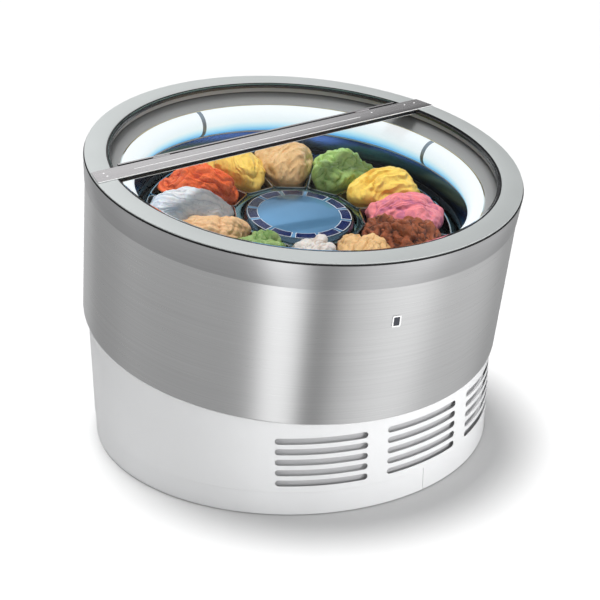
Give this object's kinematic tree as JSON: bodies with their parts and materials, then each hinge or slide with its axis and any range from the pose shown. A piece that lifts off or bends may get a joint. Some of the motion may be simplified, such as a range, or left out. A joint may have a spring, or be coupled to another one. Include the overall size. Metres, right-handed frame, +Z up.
{
  "type": "round gelato display cabinet",
  "caption": "Round refrigerated gelato display with a tilted steel drum on a vented white base, a turning carousel of wedge pans under glass, and a rear lifting flap.",
  "frame": {"origin": "floor level at the centre of the whole cabinet's box", "axes": "+Z up; -Y is the low, customers' side and +Y the server's side with the flap; +X is to the server's left"},
  "size_m": [1.3574, 1.4134, 1.0208],
  "materials": {
    "shell_steel": "satin",
    "band_steel": "satin",
    "ring_satin": "satin",
    "black_gasket": "satin",
    "inner_grey": "satin",
    "diffuser": "satin",
    "led_board": "matte",
    "lip_steel": "satin",
    "well_steel": "polished",
    "air_grille": "satin",
    "clear_glass": "polished",
    "bar_steel": "satin",
    "pin_steel": "gloss",
    "badge": "gloss",
    "white_paint": "satin",
    "filter_mesh": "matte",
    "plate_steel": "satin",
    "foot_rubber": "matte",
    "frame_paint": "satin",
    "foam": "matte",
    "compressor_black": "satin",
    "fin_metal": "satin",
    "fan_plastic": "satin",
    "motor_black": "satin",
    "bearing_metal": "satin",
    "control_black": "satin",
    "carousel_steel": "gloss",
    "hub_blue": "polished",
    "gear_plastic": "matte",
    "pinion_brass": "satin",
    "pan_steel": "gloss",
    "button_grey": "satin",
    "rocker_red": "gloss"
  },
  "bodies": {
    "cabinet": {"air_ring": "air_grille", "badge_plate": "badge", "base_plate": "plate_steel", "bearing_housing": "bearing_metal", "collar_band": "band_steel", "compressor": "compressor_black", "condenser": "fin_metal", "control_panel": "control_black", "crossbar": "bar_steel", "crossbar_beam": "black_gasket", "drum_shell": "shell_steel", "evaporator": "fin_metal", "fixed_glass": "clear_glass", "foot_front_left": "foot_rubber", "foot_front_right": "foot_rubber", "foot_rear_left": "foot_rubber", "foot_rear_right": "foot_rubber", "gear_motor": "motor_black", "glass_seat": "black_gasket", "hinge_pin_left": "pin_steel", "hinge_pin_right": "pin_steel", "inner_collar": "inner_grey", "insulation": "foam", "intake_filter": "filter_mesh", "kick_panel_left": "white_paint", "kick_panel_right": "white_paint", "led_strip": "led_board", "light_diffuser": "diffuser", "power_inlet": "control_black", "ring_bed": "black_gasket", "service_panel": "white_paint", "skirt_panel": "white_paint", "support_frame": "frame_paint", "top_ring": "ring_satin", "well_liner": "well_steel", "well_lip": "lip_steel"},
    "flap": {"flap_glass": "clear_glass", "flap_rail": "bar_steel"},
    "carousel": {"carousel_frame": "carousel_steel", "hub_disc": "hub_blue", "drive_shaft": "pin_steel", "ring_gear": "gear_plastic", "pan_01": "pan_steel", "pan_02": "pan_steel", "pan_03": "pan_steel", "pan_04": "pan_steel", "pan_05": "pan_steel", "pan_06": "pan_steel", "pan_07": "pan_steel", "pan_08": "pan_steel", "pan_09": "pan_steel", "pan_10": "pan_steel", "pan_11": "pan_steel", "pan_12": "pan_steel"},
    "pinion": {"drive_pinion": "pinion_brass"},
    "condenser_rotor": {"condenser_fan": "fan_plastic"},
    "evaporator_rotor": {"evaporator_fan": "fan_plastic"},
    "power_switch": {"power_rocker": "rocker_red"},
    "light_switch": {"light_button": "button_grey"},
    "cooling_switch": {"cooling_button": "button_grey"}
  },
  "joints": [
    {"name": "flap_hinge", "type": "hinge", "parent": "cabinet", "child": "flap", "pos_m": [0, 0.15916, 0.95393], "axis": [1, 0, 0], "range_deg": [0, 100]},
    {"name": "carousel_spin", "type": "hinge", "parent": "cabinet", "child": "carousel", "pos_m": [0, 0.02766, 0.4909], "axis": [0, -0.1478, 0.989], "continuous": true},
    {"name": "pinion_spin", "type": "hinge", "parent": "cabinet", "child": "pinion", "pos_m": [0.0945, 0.03061, 0.47112], "axis": [0, -0.1478, 0.989], "continuous": true},
    {"name": "condenser_fan_spin", "type": "hinge", "parent": "cabinet", "child": "condenser_rotor", "pos_m": [0, -0.40256, 0.165], "axis": [0, 1, 0], "continuous": true},
    {"name": "evaporator_fan_spin", "type": "hinge", "parent": "cabinet", "child": "evaporator_rotor", "pos_m": [0, -0.28205, 0.53359], "axis": [0, -0.1478, 0.989], "continuous": true},
    {"name": "power_rocker_tilt", "type": "hinge", "parent": "cabinet", "child": "power_switch", "pos_m": [-0.045, 0.69344, 0.381], "axis": [1, 0, 0], "range_deg": [0, 14]},
    {"name": "light_button_press", "type": "slide", "parent": "cabinet", "child": "light_switch", "axis": [0, -1, 0], "range_m": [0, 0.0025], "stiffness_N_per_m": 400, "springref_m": -0.001},
    {"name": "cooling_button_press", "type": "slide", "parent": "cabinet", "child": "cooling_switch", "axis": [0, -1, 0], "range_m": [0, 0.0025], "stiffness_N_per_m": 400, "springref_m": -0.001}
  ],
  "couplings": [
    {"joint": "pinion_spin", "follows": "carousel_spin", "ratio": -2.5}
  ]
}
